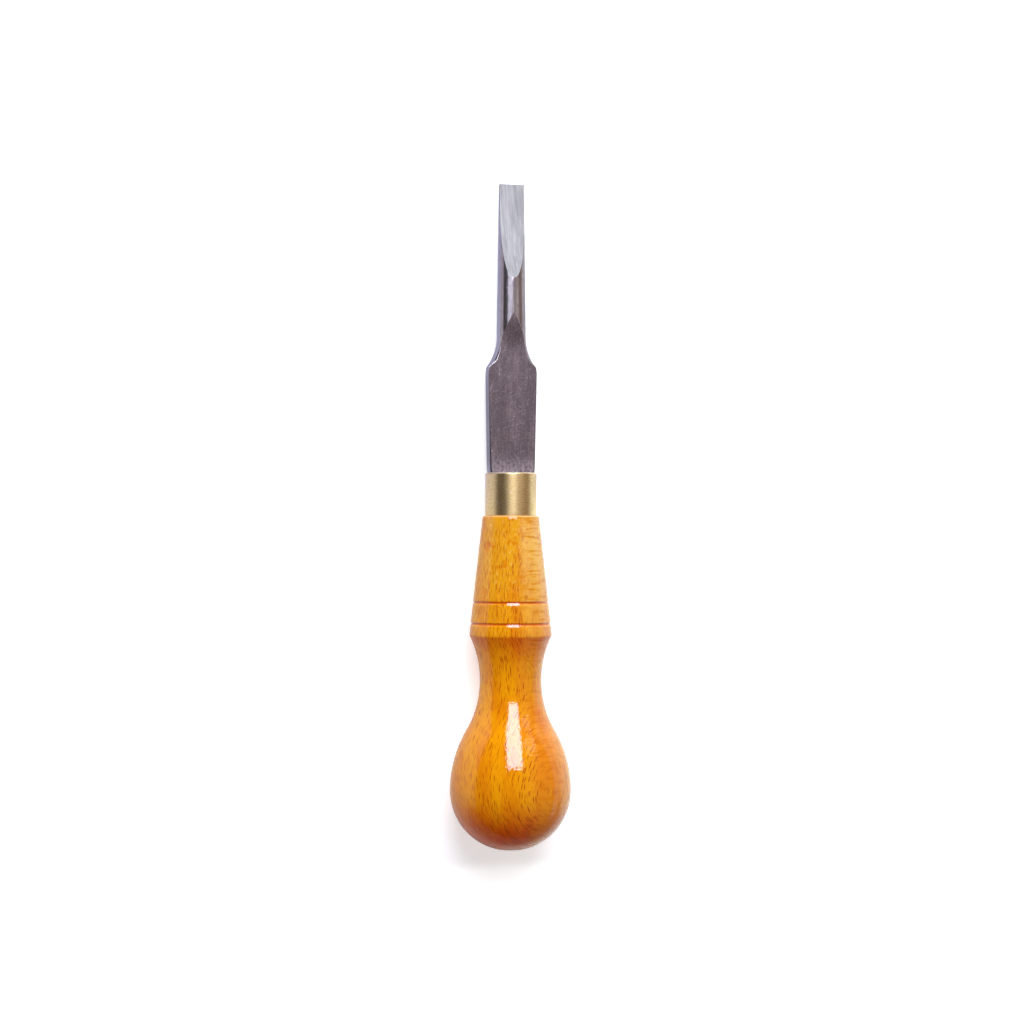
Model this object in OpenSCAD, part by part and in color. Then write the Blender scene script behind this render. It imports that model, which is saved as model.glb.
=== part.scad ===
// Flathead screwdriver: a forged blade, a brass ferrule and a turned beech handle, in mm.
// The tool lies along +Y, tip first, with +Z square to the blade's flats.
// The origin is on the axis, where the ferrule seats on the handle.

/* [Tip] */
// Width of the driving tip
tip_width = 6.7; // [4:0.1:10]
// Thickness of the driving tip
tip_thickness = 1.0; // [0.6:0.05:1.6]
// Length of the two facets ground at the tip
facet_length = 24.9; // [12:0.1:30]
// Radius of the wheel that hollows the facets
wheel_radius = 200; // [120:5:600]

/* [Blade] */
// Reach of the blade from the ferrule's rim to its tip
blade_reach = 76.2; // [60:0.1:150]
// Width of the neck where the shoulders begin
neck_width = 7.8; // [6:0.1:10]
// Thickness of the forged oval as a share of its width
oval = 0.76; // [0.7:0.01:0.95]
// Width across the shoulders
shoulder_width = 13.44; // [11:0.02:18]
// Distance from the ferrule's rim to the shoulders
spade_length = 27.95; // [15:0.05:34]
// Length of the hollow sweep from the neck to the shoulders
sweep_length = 8; // [4:0.1:14]
// Bevel that breaks the corners of the shoulders
corner_break = 0.5; // [0.2:0.05:1]
// Thickness between the flats of the spade
spade_thickness = 3.7; // [2:0.1:4.6]
// Distance that the flats run past the sweep onto the neck
flat_overrun = 6.45; // [3:0.05:9]
// Length over which the flats fade out
fade_length = 10; // [4:0.1:12]

/* [Tang] */
// Depth of the spade inside the ferrule
root_depth = 6; // [3:0.1:9]
// Length of the tang inside the handle
tang_length = 45; // [20:0.5:60]
// Width of the tang at its root
tang_width = 6; // [4:0.1:7]
// Thickness of the tang at its root
tang_thickness = 3.2; // [2:0.1:3.5]
// Share of its size that the tang keeps at its end
tang_taper = 0.5; // [0.3:0.05:0.9]

/* [Ferrule] */
// Outside diameter of the ferrule
ferrule_diameter = 13.5; // [11:0.1:18]
// Length of the ferrule
ferrule_length = 11.35; // [8:0.05:20]
// Wall of the ferrule
ferrule_wall = 0.45; // [0.3:0.05:1]
// Bevel on the ferrule's rim
rim_bevel = 0.15; // [0.05:0.05:0.25]

/* [Handle] */
// Width of the wooden ledge round the ferrule
seat_ledge = 0.7; // [0.6:0.05:2]
// Growth of the cone's radius for each millimetre of its length
cone_taper = 0.11; // [0.05:0.005:0.16]
// Radius that softens the edge at the ferrule
seat_round = 0.5; // [0.2:0.05:1]
// Radius that softens the crest of the bead
bead_round = 1.6; // [0.5:0.1:3]
// Smallest diameter of the waist
waist_diameter = 16.2; // [13:0.1:19]
// Distance from the ferrule to the waist
waist_station = 43.2; // [38:0.1:50]
// Radius of the hollow at the waist
waist_radius = 26; // [18:0.5:32]
// Largest diameter of the bulb
bulb_diameter = 31.9; // [26:0.1:40]
// Distance from the waist to the bulb's largest diameter
bulb_length = 28.9; // [22:0.1:45]
// Distance from the bulb's largest diameter to the butt
end_length = 15.4; // [13:0.1:24]
// Diameter of the small flat at the butt
butt_diameter = 7.6; // [2:0.1:10]
// Distance from the bead's crest to the lower groove
groove_offset = 2.9; // [1.8:0.05:5]
// Distance between the two grooves
groove_gap = 5.6; // [2:0.1:12]
// Width of each groove
groove_width = 0.6; // [0.3:0.05:1]

/* [Fit] */
// Clearance at every seat
fit = 0.05; // [0.02:0.01:0.2]
// Depth of the wood below the ferrule's rim
wood_recess = 0.8; // [0.3:0.1:2]

/* [Hidden] */
$fn = 96;
// Overlap that lets two curves cross cleanly where they would only touch
bite = 0.01;
// Distance that a cut runs past the face it opens
over = 1;

// Stations along the axis
rim = ferrule_length;
tip = rim + blade_reach;
shoulder = rim + spade_length;
neck = shoulder + sweep_length;
facet = tip - facet_length;
root = rim - root_depth;

// Radii of the blade's blank
ferrule_r = ferrule_diameter / 2;
bore_r = ferrule_r - ferrule_wall;
root_r = bore_r - fit;
tip_r = tip_width / 2;
neck_r = neck_width / 2;
shoulder_r = shoulder_width / 2;
sweep_rise = shoulder_r - neck_r;
sweep_r = (pow(sweep_length, 2) + pow(sweep_rise, 2)) / (2 * sweep_rise);
function neck_at(z) = tip_r + (neck_r - tip_r) * (tip - z) / (tip - neck);

// Flats of the spade: level, then a hollow arc and a rounded arc up to the neck
flat_end = neck + flat_overrun;
flat_h = spade_thickness / 2;
flat_rise = oval * neck_at(flat_end) - flat_h;
fade_r = pow(fade_length, 2) / (4 * flat_rise);
fade = flat_end - fade_length;

// Centre of the grinding wheel, which passes through both ends of a facet
facet_from = [facet, oval * neck_at(facet)];
facet_to = [tip, tip_thickness / 2];
chord = facet_to - facet_from;
wheel = (facet_from + facet_to) / 2
    + [-chord[1], chord[0]] / norm(chord) * sqrt(pow(wheel_radius, 2) - pow(norm(chord) / 2, 2));

// Turned outline of the handle, as radius and height below the ferrule
spigot_r = bore_r - fit;
seat_r = ferrule_r + seat_ledge;
waist_r = waist_diameter / 2;
bulb_r = bulb_diameter / 2;
butt_r = butt_diameter / 2;
bulb_station = waist_station + bulb_length;
butt = bulb_station + end_length;
bulb_rise = bulb_r - waist_r;
front_r = (pow(bulb_length, 2) + pow(bulb_rise, 2)) / (2 * bulb_rise) - waist_radius;
end_rise = bulb_r - butt_r;
end_r = (pow(end_length, 2) + pow(end_rise, 2)) / (2 * end_rise);
waist_c = [waist_r + waist_radius, -waist_station];
front_c = [bulb_r - front_r, -bulb_station];
end_c = [bulb_r - end_r, -bulb_station];

// The bead's crest is an arc that touches both the cone and the hollow of the waist
cone_a = atan(cone_taper);
cone_d = [sin(cone_a), -cos(cone_a)];
cone_n = [-cos(cone_a), -sin(cone_a)];
crest_v = [seat_r, 0] + bead_round * cone_n - waist_c;
crest_b = crest_v * cone_d;
crest_t = -crest_b - sqrt(pow(crest_b, 2) - crest_v * crest_v + pow(waist_radius + bead_round, 2));
crest_c = waist_c + crest_v + crest_t * cone_d;
crest_a = heading(waist_c - crest_c);
seat_c = [seat_r + seat_round * (cone_taper - 1 / cos(cone_a)), -seat_round];
lower_groove = -crest_c[1] - groove_offset;
upper_groove = lower_groove - groove_gap;

function heading(v) = atan2(v[1], v[0]);
function arc(c, r, from, to) =
    let (n = max(3, ceil(abs(to - from) / 3)))
    [for (i = [1:n]) let (a = from + (to - from) * i / n) c + r * [cos(a), sin(a)]];

module along_y() {
    rotate([-90, 0, 0]) children();
}

// Draws a side view, axis first and thickness second, and extends it across the blade
module across(width) {
    rotate([0, -90, 0]) linear_extrude(width, center = true) children();
}

// Forged blank: an oval neck that sweeps out to the shoulders
module blank() {
    side = [root_r - shoulder_r, rim - shoulder] / norm([root_r - shoulder_r, rim - shoulder]);
    lean = atan2(sweep_length, sweep_r - sweep_rise);
    corner = [shoulder_r, shoulder];
    scale([1, oval, 1]) rotate_extrude() difference() {
        polygon([[0, root], [root_r, root], [root_r, rim], corner, [neck_r, neck],
            [neck_at(tip + over), tip + over], [0, tip + over]]);
        translate([neck_r + sweep_r - bite, neck]) circle(sweep_r, $fn = 360);
        polygon([corner + corner_break * side, corner + [over, 0], corner + [over, over],
            corner + corner_break * [-sin(lean), cos(lean)]]);
    }
}

// Metal taken off above one flat of the spade
module flat_cut() {
    deep = 3 * shoulder_r;
    mid = fade + fade_length / 2;
    translate([root - over, flat_h]) square([fade - root + over, deep]);
    intersection() {
        translate([fade, flat_h + fade_r - bite]) circle(fade_r, $fn = 360);
        translate([fade - over, flat_h - over]) square([mid - fade + 2 * over, deep]);
    }
    difference() {
        translate([mid, flat_h + bite]) square([flat_end - mid, deep]);
        translate([flat_end, flat_h + flat_rise - fade_r]) circle(fade_r + bite, $fn = 360);
    }
}

// Wheel that grinds one facet of the tip
module facet_cut() {
    translate(wheel) circle(wheel_radius, $fn = 1440);
}

// Tapered tang, grown all round by a gap to make its socket
module tang(gap = 0) {
    half = [tang_width, tang_thickness] / 2;
    foot = root - tang_length;
    intersection() {
        across(2 * shoulder_r) polygon([[foot - gap, -half[1] * tang_taper - gap],
            [root + over, -half[1] - gap], [root + over, half[1] + gap], [foot - gap, half[1] * tang_taper + gap]]);
        rotate([90, 0, 0]) linear_extrude(2 * shoulder_r, center = true)
            polygon([[-half[0] * tang_taper - gap, foot - gap], [half[0] * tang_taper + gap, foot - gap],
                [half[0] + gap, root + over], [-half[0] - gap, root + over]]);
    }
}

module blade() {
    color("silver") along_y() {
        difference() {
            blank();
            across(3 * shoulder_r) for (s = [0, 1]) mirror([0, s]) flat_cut();
            across(3 * shoulder_r) for (s = [0, 1]) mirror([0, s]) facet_cut();
            across(3 * shoulder_r) translate([tip, -shoulder_r]) square([2 * over, 2 * shoulder_r]);
        }
        tang();
    }
}

module ferrule() {
    color("goldenrod") along_y() rotate_extrude()
        polygon([[bore_r, 0], [ferrule_r, 0], [ferrule_r, rim - rim_bevel],
            [ferrule_r - rim_bevel, rim], [bore_r, rim]]);
}

module handle_outline() {
    wood = rim - wood_recess;
    polygon(concat(
        [[0, wood], [spigot_r - seat_round, wood], [spigot_r, wood - seat_round], [spigot_r, 0],
            seat_c + [0, seat_round]],
        arc(seat_c, seat_round, 90, cone_a),
        [crest_c - bead_round * cone_n],
        arc(crest_c, bead_round, cone_a, crest_a),
        arc(waist_c, waist_radius, crest_a + 180, heading(front_c - waist_c) + 360),
        arc(front_c, front_r, heading(waist_c - front_c), 0),
        arc(end_c, end_r, 0, heading([butt_r, -butt] - end_c)),
        [[0, -butt]]
    ));
}

module handle() {
    slot = spade_thickness + 2 * fit;
    color("peru") along_y() difference() {
        rotate_extrude() handle_outline();
        for (u = [upper_groove, lower_groove])
            rotate_extrude() translate([seat_r + cone_taper * u, -u]) circle(d = groove_width);
        translate([-shoulder_r, -slot / 2, root - fit]) cube([2 * shoulder_r, slot, rim]);
        tang(fit);
    }
}

blade();
ferrule();
handle();
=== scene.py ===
"""Flathead screwdriver: a forged blade, a brass ferrule and a turned, lacquered beech handle.

Every size is in millimetres until a piece is finished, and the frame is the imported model's:
+Y runs along the tool's axis towards the tip and +Z is square to the blade's flats.
"""

from __future__ import annotations

import logging
import math
from collections.abc import Iterable, Sequence
from dataclasses import dataclass
from enum import Enum
from typing import ClassVar

import bmesh
import bpy
from mathutils import Matrix, Vector, noise

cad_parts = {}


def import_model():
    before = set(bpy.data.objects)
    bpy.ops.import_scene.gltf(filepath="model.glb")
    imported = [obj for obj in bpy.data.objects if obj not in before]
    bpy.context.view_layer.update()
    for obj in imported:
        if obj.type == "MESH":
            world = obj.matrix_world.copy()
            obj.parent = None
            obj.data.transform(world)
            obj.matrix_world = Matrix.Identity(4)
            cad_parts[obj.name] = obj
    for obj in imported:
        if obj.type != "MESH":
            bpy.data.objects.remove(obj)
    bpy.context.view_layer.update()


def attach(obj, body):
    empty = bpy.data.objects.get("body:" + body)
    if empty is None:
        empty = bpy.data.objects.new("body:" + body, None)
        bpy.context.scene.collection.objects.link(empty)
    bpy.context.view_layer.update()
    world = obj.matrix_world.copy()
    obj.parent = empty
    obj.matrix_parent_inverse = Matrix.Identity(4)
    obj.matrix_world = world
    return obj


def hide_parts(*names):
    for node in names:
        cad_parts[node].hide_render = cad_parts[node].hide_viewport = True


LOG = logging.getLogger("screwdriver")
MM = 0.001
MERGE_GAP = 1e-4
SHARP_ANGLE = 38.0
NOISE_SPAN = (0.3, 0.7)

Socket = bpy.types.NodeSocket
Colour = tuple[float, float, float, float]
Triple = tuple[float, float, float]
Pair = tuple[float, float]


class Zone(Enum):
    """Parts of the blade's skin, in the order of its material slots."""

    FORGED = 0
    GROUND_FLAT = 1
    GROUND_TIP = 2


class Mark(Enum):
    """Point attributes that tell a finish where a feature lies."""

    # Rubbed edges, which also carry a painted highlight line.
    WEAR_AND_HIGHLIGHT = "wear"
    RECESS = "recess"
    LEDGE = "ledge"
    # Faces turned towards the butt: end grain, and painted shade away from the key lamp.
    END_GRAIN_AND_SHADE = "end_grain"


class Field:
    """A value, vector or colour that changes over a surface: one output of a node."""

    def __init__(self, sheet: NodeSheet, socket: Socket) -> None:
        """Keep the output and the sheet that its node is on."""
        self.sheet = sheet
        self.socket = socket

    def __add__(self, other: Value) -> Field:
        """Add a value."""
        return self.sheet.math("ADD", self, other)

    def __sub__(self, other: Value) -> Field:
        """Take a value away."""
        return self.sheet.math("SUBTRACT", self, other)

    def __rsub__(self, other: Value) -> Field:
        """Take this away from a plain value."""
        return self.sheet.math("SUBTRACT", other, self)

    def __mul__(self, other: Value) -> Field:
        """Multiply by a value."""
        return self.sheet.math("MULTIPLY", self, other)

    def clamped(self) -> Field:
        """Keep the sum that this comes from between 0 and 1."""
        self.socket.node.use_clamp = True
        return self

    def span(self, low: Value, high: Value, start: Value = 0.0, end: Value = 1.0) -> Field:
        """Map smoothly from one span to another.

        Args:
            low: Where the result is start.
            high: Where the result is end.
            start: Result at low.
            end: Result at high.

        Returns:
            The mapped value.
        """
        inputs = {"Value": self, "From Min": low, "From Max": high, "To Min": start, "To Max": end}
        return self.sheet.field("ShaderNodeMapRange", "Result", inputs, interpolation_type="SMOOTHSTEP")

    def evened(self, start: Value = 0.0, end: Value = 1.0) -> Field:
        """Stretch the part of its span that a noise mostly keeps to."""
        return self.span(*NOISE_SPAN, start, end)


Value = Field | float | Sequence[float]


class NodeSheet:
    """Adds nodes to one tree and wires them, so that a finish reads as a list of steps."""

    def __init__(self, tree: bpy.types.NodeTree) -> None:
        """Keep the tree that the nodes go into."""
        self.tree = tree

    def put(self, socket: Socket, value: Value) -> None:
        """Wire a field to an input, or set a plain value on it.

        Args:
            socket: Input to fill.
            value: Field to wire, or the value to set.
        """
        if isinstance(value, Field):
            self.tree.links.new(value.socket, socket)
        else:
            socket.default_value = value

    def fill(self, node: bpy.types.Node, inputs: dict[str | int, Value]) -> None:
        """Fill several inputs of a node, by name or index."""
        for key, value in inputs.items():
            self.put(node.inputs[key], value)

    def node(
        self, kind: str, inputs: dict[str | int, Value] | None = None, **settings: object,
    ) -> bpy.types.Node:
        """Add one node.

        Args:
            kind: Blender's name for the node type.
            inputs: Values or fields for its inputs, by name or index.
            settings: Plain properties to set before the inputs.

        Returns:
            The new node.
        """
        made = self.tree.nodes.new(kind)
        for key, setting in settings.items():
            setattr(made, key, setting)
        self.fill(made, inputs or {})
        return made

    def read(self, node: bpy.types.Node, output: str | int) -> Field:
        """Give one output of a node."""
        return Field(self, node.outputs[output])

    def field(
        self, kind: str, output: str | int, inputs: dict[str | int, Value] | None = None,
        **settings: object,
    ) -> Field:
        """Add one node and give one of its outputs."""
        return self.read(self.node(kind, inputs, **settings), output)

    def math(self, operation: str, first: Value, second: Value = 0.0) -> Field:
        """Add one sum on values."""
        return self.field("ShaderNodeMath", 0, {0: first, 1: second}, operation=operation)

    def vector(self, operation: str, first: Value, second: Value = (0, 0, 0)) -> Field:
        """Add one sum on vectors, which gives a value for a dot product or a length."""
        output = "Value" if operation in ("DOT_PRODUCT", "LENGTH") else "Vector"
        return self.field("ShaderNodeVectorMath", output, {0: first, 1: second}, operation=operation)

    def placed(
        self, point: Value, turn: Sequence[float] = (0, 0, 0), scale: Sequence[float] = (1, 1, 1),
    ) -> Field:
        """Turn or scale the place that a pattern reads.

        Args:
            point: Vector to change.
            turn: Angles about X, Y and Z in degrees.
            scale: Factors along X, Y and Z, which come before the turn.

        Returns:
            The changed vector.
        """
        angles = tuple(math.radians(angle) for angle in turn)
        inputs = {"Vector": point, "Rotation": angles, "Scale": tuple(scale)}
        return self.field("ShaderNodeMapping", "Vector", inputs)

    def split(self, point: Value) -> tuple[Field, Field]:
        """Give a place's parts across the tool and along it."""
        made = self.node("ShaderNodeSeparateXYZ", {0: point})
        return self.read(made, "X"), self.read(made, "Y")

    def outward(self, point: Value) -> Field:
        """Give the direction straight away from the tool's axis."""
        return self.vector("NORMALIZE", self.vector("MULTIPLY", point, (1, 0, 1)))

    def noise(
        self, point: Value, fineness: float | Sequence[float], detail: float = 2.0, rough: float = 0.5,
    ) -> Field:
        """Add a noise pattern.

        Args:
            point: Place to read it at.
            fineness: How fine it is, all round or along X, Y and Z.
            detail: How many finer layers it has.
            rough: How strong the finer layers are.

        Returns:
            The pattern's value, around 0.5.
        """
        scale = fineness
        if not isinstance(fineness, float):
            point = self.placed(point, scale=fineness)
            scale = 1.0
        inputs = {"Vector": point, "Scale": scale, "Detail": detail, "Roughness": rough}
        return self.field("ShaderNodeTexNoise", 0, inputs)

    def cells(self, point: Value, scale: Value = 1.0) -> tuple[Field, Field]:
        """Scatter cells over space.

        Args:
            point: Place to read them at.
            scale: How fine they are.

        Returns:
            The distance from the nearest cell's middle, and a chance from 0 to 1 for that cell.
        """
        made = self.node("ShaderNodeTexVoronoi", {"Vector": point, "Scale": scale})
        chance = self.field("ShaderNodeSeparateColor", 0, {0: self.read(made, "Color")})
        return self.read(made, "Distance"), chance

    def blend(self, share: Value, below: Value, above: Value) -> Field:
        """Lay a share of one colour over another."""
        inputs = {0: share, 6: below, 7: above}
        return self.field("ShaderNodeMix", 2, inputs, data_type="RGBA", clamp_factor=True)

    def mark(self, which: Mark) -> Field:
        """Read one of the piece's point attributes."""
        return self.field("ShaderNodeAttribute", "Fac", attribute_name=which.value)

    def here(self) -> Field:
        """Give the place on the piece in millimetres."""
        point = self.field("ShaderNodeTexCoord", "Object")
        return self.placed(point, scale=(1 / MM, 1 / MM, 1 / MM))

    def round_axis(self) -> Field:
        """Give the direction round the tool's axis, which brushed metal takes its sheen from."""
        return self.field("ShaderNodeTangent", "Tangent", direction_type="RADIAL", axis="Y")

    def bump(self, height: Value, depth: float) -> Field:
        """Turn a height into a normal, given the depth in millimetres that a height of 1 stands for."""
        inputs = {"Height": height, "Distance": depth * MM, "Strength": 1.0}
        return self.field("ShaderNodeBump", "Normal", inputs)

    def seen(self, path: bpy.types.Node) -> Field:
        """Tell from a Light Path node whether the camera looks, straight or through glass."""
        straight = self.read(path, "Is Camera Ray")
        return self.math("MAXIMUM", straight, self.read(path, "Is Transmission Ray"))

    def group(self, tree: bpy.types.NodeTree, inputs: dict[str | int, Value]) -> Field:
        """Place a shared effect and give its result."""
        return self.field("ShaderNodeGroup", 0, inputs, node_tree=tree)


class Effects:
    """Shared effects as shader node groups, each built once."""

    def __init__(self) -> None:
        """Build every group."""
        self.scratches = self._scratches()
        self.specks = self._specks()
        self.worn_edge_highlight = self._worn_edge_highlight()

    @staticmethod
    def _new(name: str, inputs: dict[str, str], output: str) -> tuple[NodeSheet, dict[str, Field], Socket]:
        """Start a group with its sockets.

        Args:
            name: Name of the group.
            inputs: Kind of each input by its name.
            output: Name of its one output, a value.

        Returns:
            The sheet to build on, the inputs by name, and the socket that takes the result.
        """
        tree = bpy.data.node_groups.new(name, "ShaderNodeTree")
        for label, kind in inputs.items():
            tree.interface.new_socket(name=label, in_out="INPUT", socket_type=f"NodeSocket{kind}")
        tree.interface.new_socket(name=output, in_out="OUTPUT", socket_type="NodeSocketFloat")
        sheet = NodeSheet(tree)
        source = sheet.node("NodeGroupInput")
        given = {label: sheet.read(source, label) for label in inputs}
        return sheet, given, sheet.node("NodeGroupOutput").inputs[output]

    def _scratches(self) -> bpy.types.NodeTree:
        """Fine lines along Y, given their breadth and length in millimetres.

        Returns:
            The group.
        """
        inputs = {"Place": "Vector", "Breadth": "Float", "Length": "Float"}
        sheet, given, result = self._new("fine_scratches", inputs, "Lines")
        across = sheet.math("DIVIDE", 1.0, given["Breadth"])
        along = sheet.math("DIVIDE", 1.0, given["Length"])
        scale = sheet.field("ShaderNodeCombineXYZ", 0, {0: across, 1: along, 2: across})
        drawn = sheet.vector("MULTIPLY", given["Place"], scale)
        sheet.put(result, sheet.noise(drawn, 1.0, 3.0, 0.65).evened())
        return sheet.tree

    def _specks(self) -> bpy.types.NodeTree:
        """Scattered round specks, given their spacing, their size and the share of places with one.

        Returns:
            The group.
        """
        solid_core = 0.4
        inputs = {"Place": "Vector", "Spacing": "Float", "Size": "Float", "Share": "Float"}
        sheet, given, result = self._new("scattered_specks", inputs, "Mask")
        distance, chance = sheet.cells(given["Place"], sheet.math("DIVIDE", 1.0, given["Spacing"]))
        kept = sheet.math("LESS_THAN", chance, given["Share"])
        dot = distance.span(given["Size"] * solid_core, given["Size"], 1.0, 0.0)
        sheet.put(result, dot * kept)
        return sheet.tree

    def _worn_edge_highlight(self) -> bpy.types.NodeTree:
        """Uneven rubbing along an edge, given where the edge is from 0 to 1; it also paints a highlight line
        there.

        Returns:
            The group.
        """
        inputs = {"Place": "Vector", "Edge": "Float", "Amount": "Float"}
        sheet, given, result = self._new("worn_edge_highlight", inputs, "Mask")
        patchy = sheet.noise(given["Place"], 1.1, 3.0, 0.6)
        uneven = given["Edge"] + (patchy - 0.5)
        sheet.put(result, (uneven.span(0.35, 0.95) * given["Amount"]).clamped())
        return sheet.tree


def new_material(name: str) -> tuple[bpy.types.Material, NodeSheet, bpy.types.Node]:
    """Start a material that holds only a Principled shader.

    Args:
        name: Name of the material.

    Returns:
        The material, the sheet to build on, and its shader.
    """
    material = bpy.data.materials.new(name)
    material.use_nodes = True
    sheet = NodeSheet(material.node_tree)
    return material, sheet, material.node_tree.nodes["Principled BSDF"]


@dataclass(frozen=True)
class Figure:
    """Patterns of the wood that its colour and its relief share.

    The grain is the place turned so that X is across the rays and Z points away from the pith.
    """

    here: Field
    across: Field
    along: Field
    grain: Field
    fibre: Field
    thin_coat: Field
    bare_sides: Field
    rays: Field
    faint_rays: Field
    silver: Field


@dataclass(frozen=True)
class LacqueredBeech:
    """Turned beech under a gloss amber lacquer.

    The wood is solid: its rays are thin sheets that run along the axis and towards the pith,
    so each turned slope cuts them at its own slant. End grain drinks the lacquer and turns redder.
    That redder, darker colour goes on every face turned towards the butt, away from the key lamp,
    so there it is partly painted shade.
    Lengths are in millimetres, turns in degrees, and strengths from 0 to 1.
    """

    light: Colour = (0.76, 0.292, 0.001, 1)
    deep: Colour = (0.63, 0.170, 0.0005, 1)
    golden: Colour = (0.68, 0.340, 0.014, 1)
    ember: Colour = (0.70, 0.200, 0.0005, 1)
    # End grain's colour, also painted shade on the faces turned towards the butt.
    soaked_and_shaded: Colour = (0.66, 0.084, 0.001, 1)
    fleck: Colour = (0.38, 0.052, 0.0005, 1)
    # Pale colour of the painted sheen on the rays' faces and of the painted glints.
    sheen: Colour = (0.84, 0.55, 0.15, 1)
    pooled: Colour = (0.56, 0.095, 0.004, 1)
    bare: Colour = (0.77, 0.52, 0.26, 1)
    grain_drift: float = 1.6
    ray_turn: float = 58.0
    ray_cell: Triple = (0.22, 2.9, 9.0)
    ray_size: float = 0.50
    faint_share: float = 0.6
    faint_size: float = 0.48
    pith_distance: float = 46.0
    ring_width: float = 1.7
    ring_wander: float = 2.4
    thick_coat_at: float = -42.0
    thin_coat_at: float = -6.0
    bulb_span: Pair = (-48.0, -62.0)
    streak_at: float = 6.0
    streak_half: Pair = (1.5, 5.5)
    streak_strength: float = 0.6
    # Painted light: the handle's left side is painted paler.
    painted_light_span: Pair = (-10.0, 3.0)
    painted_light_by: float = 0.3
    ripple_side: float = 12.5
    ripple_half: Pair = (11.0, 7.0)
    ripple_foot: Pair = (-70.0, -65.0)
    ripple_top: Pair = (-44.0, -48.0)
    golden_strength: float = 0.6
    curl_strength: float = 0.75
    # Strengths of the painted glints and of the painted lustre on the rays' faces.
    glint_strength: float = 0.55
    lustre_strength: float = 0.46
    least_lustre: float = 0.03
    fleck_strength: float = 0.98
    fleck_fading: float = 0.3
    faint_strength: float = 0.38
    silver_strength: float = 0.16
    bare_strength: float = 0.7
    relief_depth: float = 0.024
    wood_roughness: Pair = (0.42, 0.58)
    dusty_coat: float = 0.72
    coat_roughness: float = 0.045
    coat_ior: float = 1.59

    def material(self) -> bpy.types.Material:
        """Build the finish.

        Returns:
            The material.
        """
        material, sheet, shader = new_material("lacquered_beech")
        figure = self._figure(sheet)
        normal = sheet.bump(self._relief(sheet, figure), self.relief_depth)
        dust = sheet.noise(figure.here, 3.0, 1.0, 0.6)
        sheet.fill(shader, {
            "Base Color": self._colour(sheet, figure),
            "Roughness": figure.fibre.span(0.2, 0.8, *self.wood_roughness),
            "Specular IOR Level": 0.0,
            "Normal": normal,
            "Coat Normal": normal,
            "Coat Weight": dust.span(0.38, 0.56, self.dusty_coat, 1.0),
            "Coat Roughness": self.coat_roughness,
            "Coat IOR": self.coat_ior,
        })
        return material

    def _figure(self, sheet: NodeSheet) -> Figure:
        """Lay out the patterns that the colour and the relief share.

        Args:
            sheet: Sheet to build on.

        Returns:
            The patterns.
        """
        here = sheet.here()
        across, along = sheet.split(here)
        inputs = {"Vector": sheet.placed(here, scale=(0.05, 0.03, 0.05)), "Scale": 1.0, "Detail": 1.0}
        slow = sheet.field("ShaderNodeTexNoise", "Color", inputs)
        drift = sheet.vector("SUBTRACT", slow, (0.5, 0.5, 0.5))
        drift = sheet.vector("MULTIPLY", drift, (self.grain_drift, 0.0, self.grain_drift))
        grain = sheet.placed(sheet.vector("ADD", here, drift), turn=(0, self.ray_turn, 0))
        slant = sheet.math("ABSOLUTE", sheet.vector("DOT_PRODUCT", sheet.outward(grain), (1, 0, 0)))
        bare_sides = slant.span(0.80, 1.0)
        bands = sheet.noise(grain, (0.35, 1.15, 0.16), 2.0, 0.6)
        return Figure(
            here=here,
            across=across,
            along=along,
            grain=grain,
            fibre=sheet.noise(grain, (5.0, 0.16, 5.0), 3.0, 0.6),
            thin_coat=along.span(self.thick_coat_at, self.thin_coat_at),
            bare_sides=bare_sides,
            rays=self._rays(sheet, grain, 1.0, self.ray_size) * slant.span(0.90, 1.0, 1.0, 0.25),
            faint_rays=self._rays(sheet, grain, self.faint_share, self.faint_size),
            silver=bands.span(0.46, 0.66) * bare_sides,
        )

    def _rays(self, sheet: NodeSheet, grain: Field, share: float, size: float) -> Field:
        """Cut one layer of ray sheets.

        Args:
            sheet: Sheet to build on.
            grain: Place turned into the grain.
            share: Share of the largest cell that this layer's cells have.
            size: How much of its cell the largest sheet fills.

        Returns:
            Mask of the flecks that the sheets leave.
        """
        scale = tuple(1 / (share * edge) for edge in self.ray_cell)
        distance, chance = sheet.cells(sheet.placed(grain, scale=scale))
        reach = chance.span(0.05, 0.8, 0.3, 1.0) * size
        return distance.span(reach * 0.45, reach, 1.0, 0.0)

    def _colour(self, sheet: NodeSheet, figure: Figure) -> Field:
        """Lay the rays, a painted sheen and the lacquer's marks over the wood.

        Args:
            sheet: Sheet to build on.
            figure: The wood's patterns.

        Returns:
            The colour.
        """
        off_streak = sheet.math("ABSOLUTE", figure.across - self.streak_at)
        streak = off_streak.span(*self.streak_half, self.streak_strength, 0.0)
        streak = streak * figure.along.span(*self.bulb_span)
        wood = sheet.blend(streak, self._ground(sheet, figure), self.ember)
        strength = self.fleck_strength - figure.thin_coat * self.fleck_fading
        wood = sheet.blend(figure.faint_rays * self.faint_strength, wood, self.fleck)
        wood = sheet.blend(figure.rays * strength, wood, self.fleck)
        wood = sheet.blend(figure.silver * self.silver_strength, wood, self.fleck)
        # Painted sheen: a pale lustre painted on the faces of the rays, strongest towards the ferrule.
        lustre = figure.thin_coat * self.lustre_strength + self.least_lustre
        wood = sheet.blend((figure.bare_sides - figure.silver).clamped() * lustre, wood, self.sheen)
        wood = sheet.blend(sheet.mark(Mark.RECESS).span(0.1, 0.8), wood, self.pooled)
        ragged = sheet.mark(Mark.LEDGE) + (figure.fibre - 0.5)
        return sheet.blend(ragged.span(0.5, 1.0, 0.0, self.bare_strength), wood, self.bare)

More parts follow.
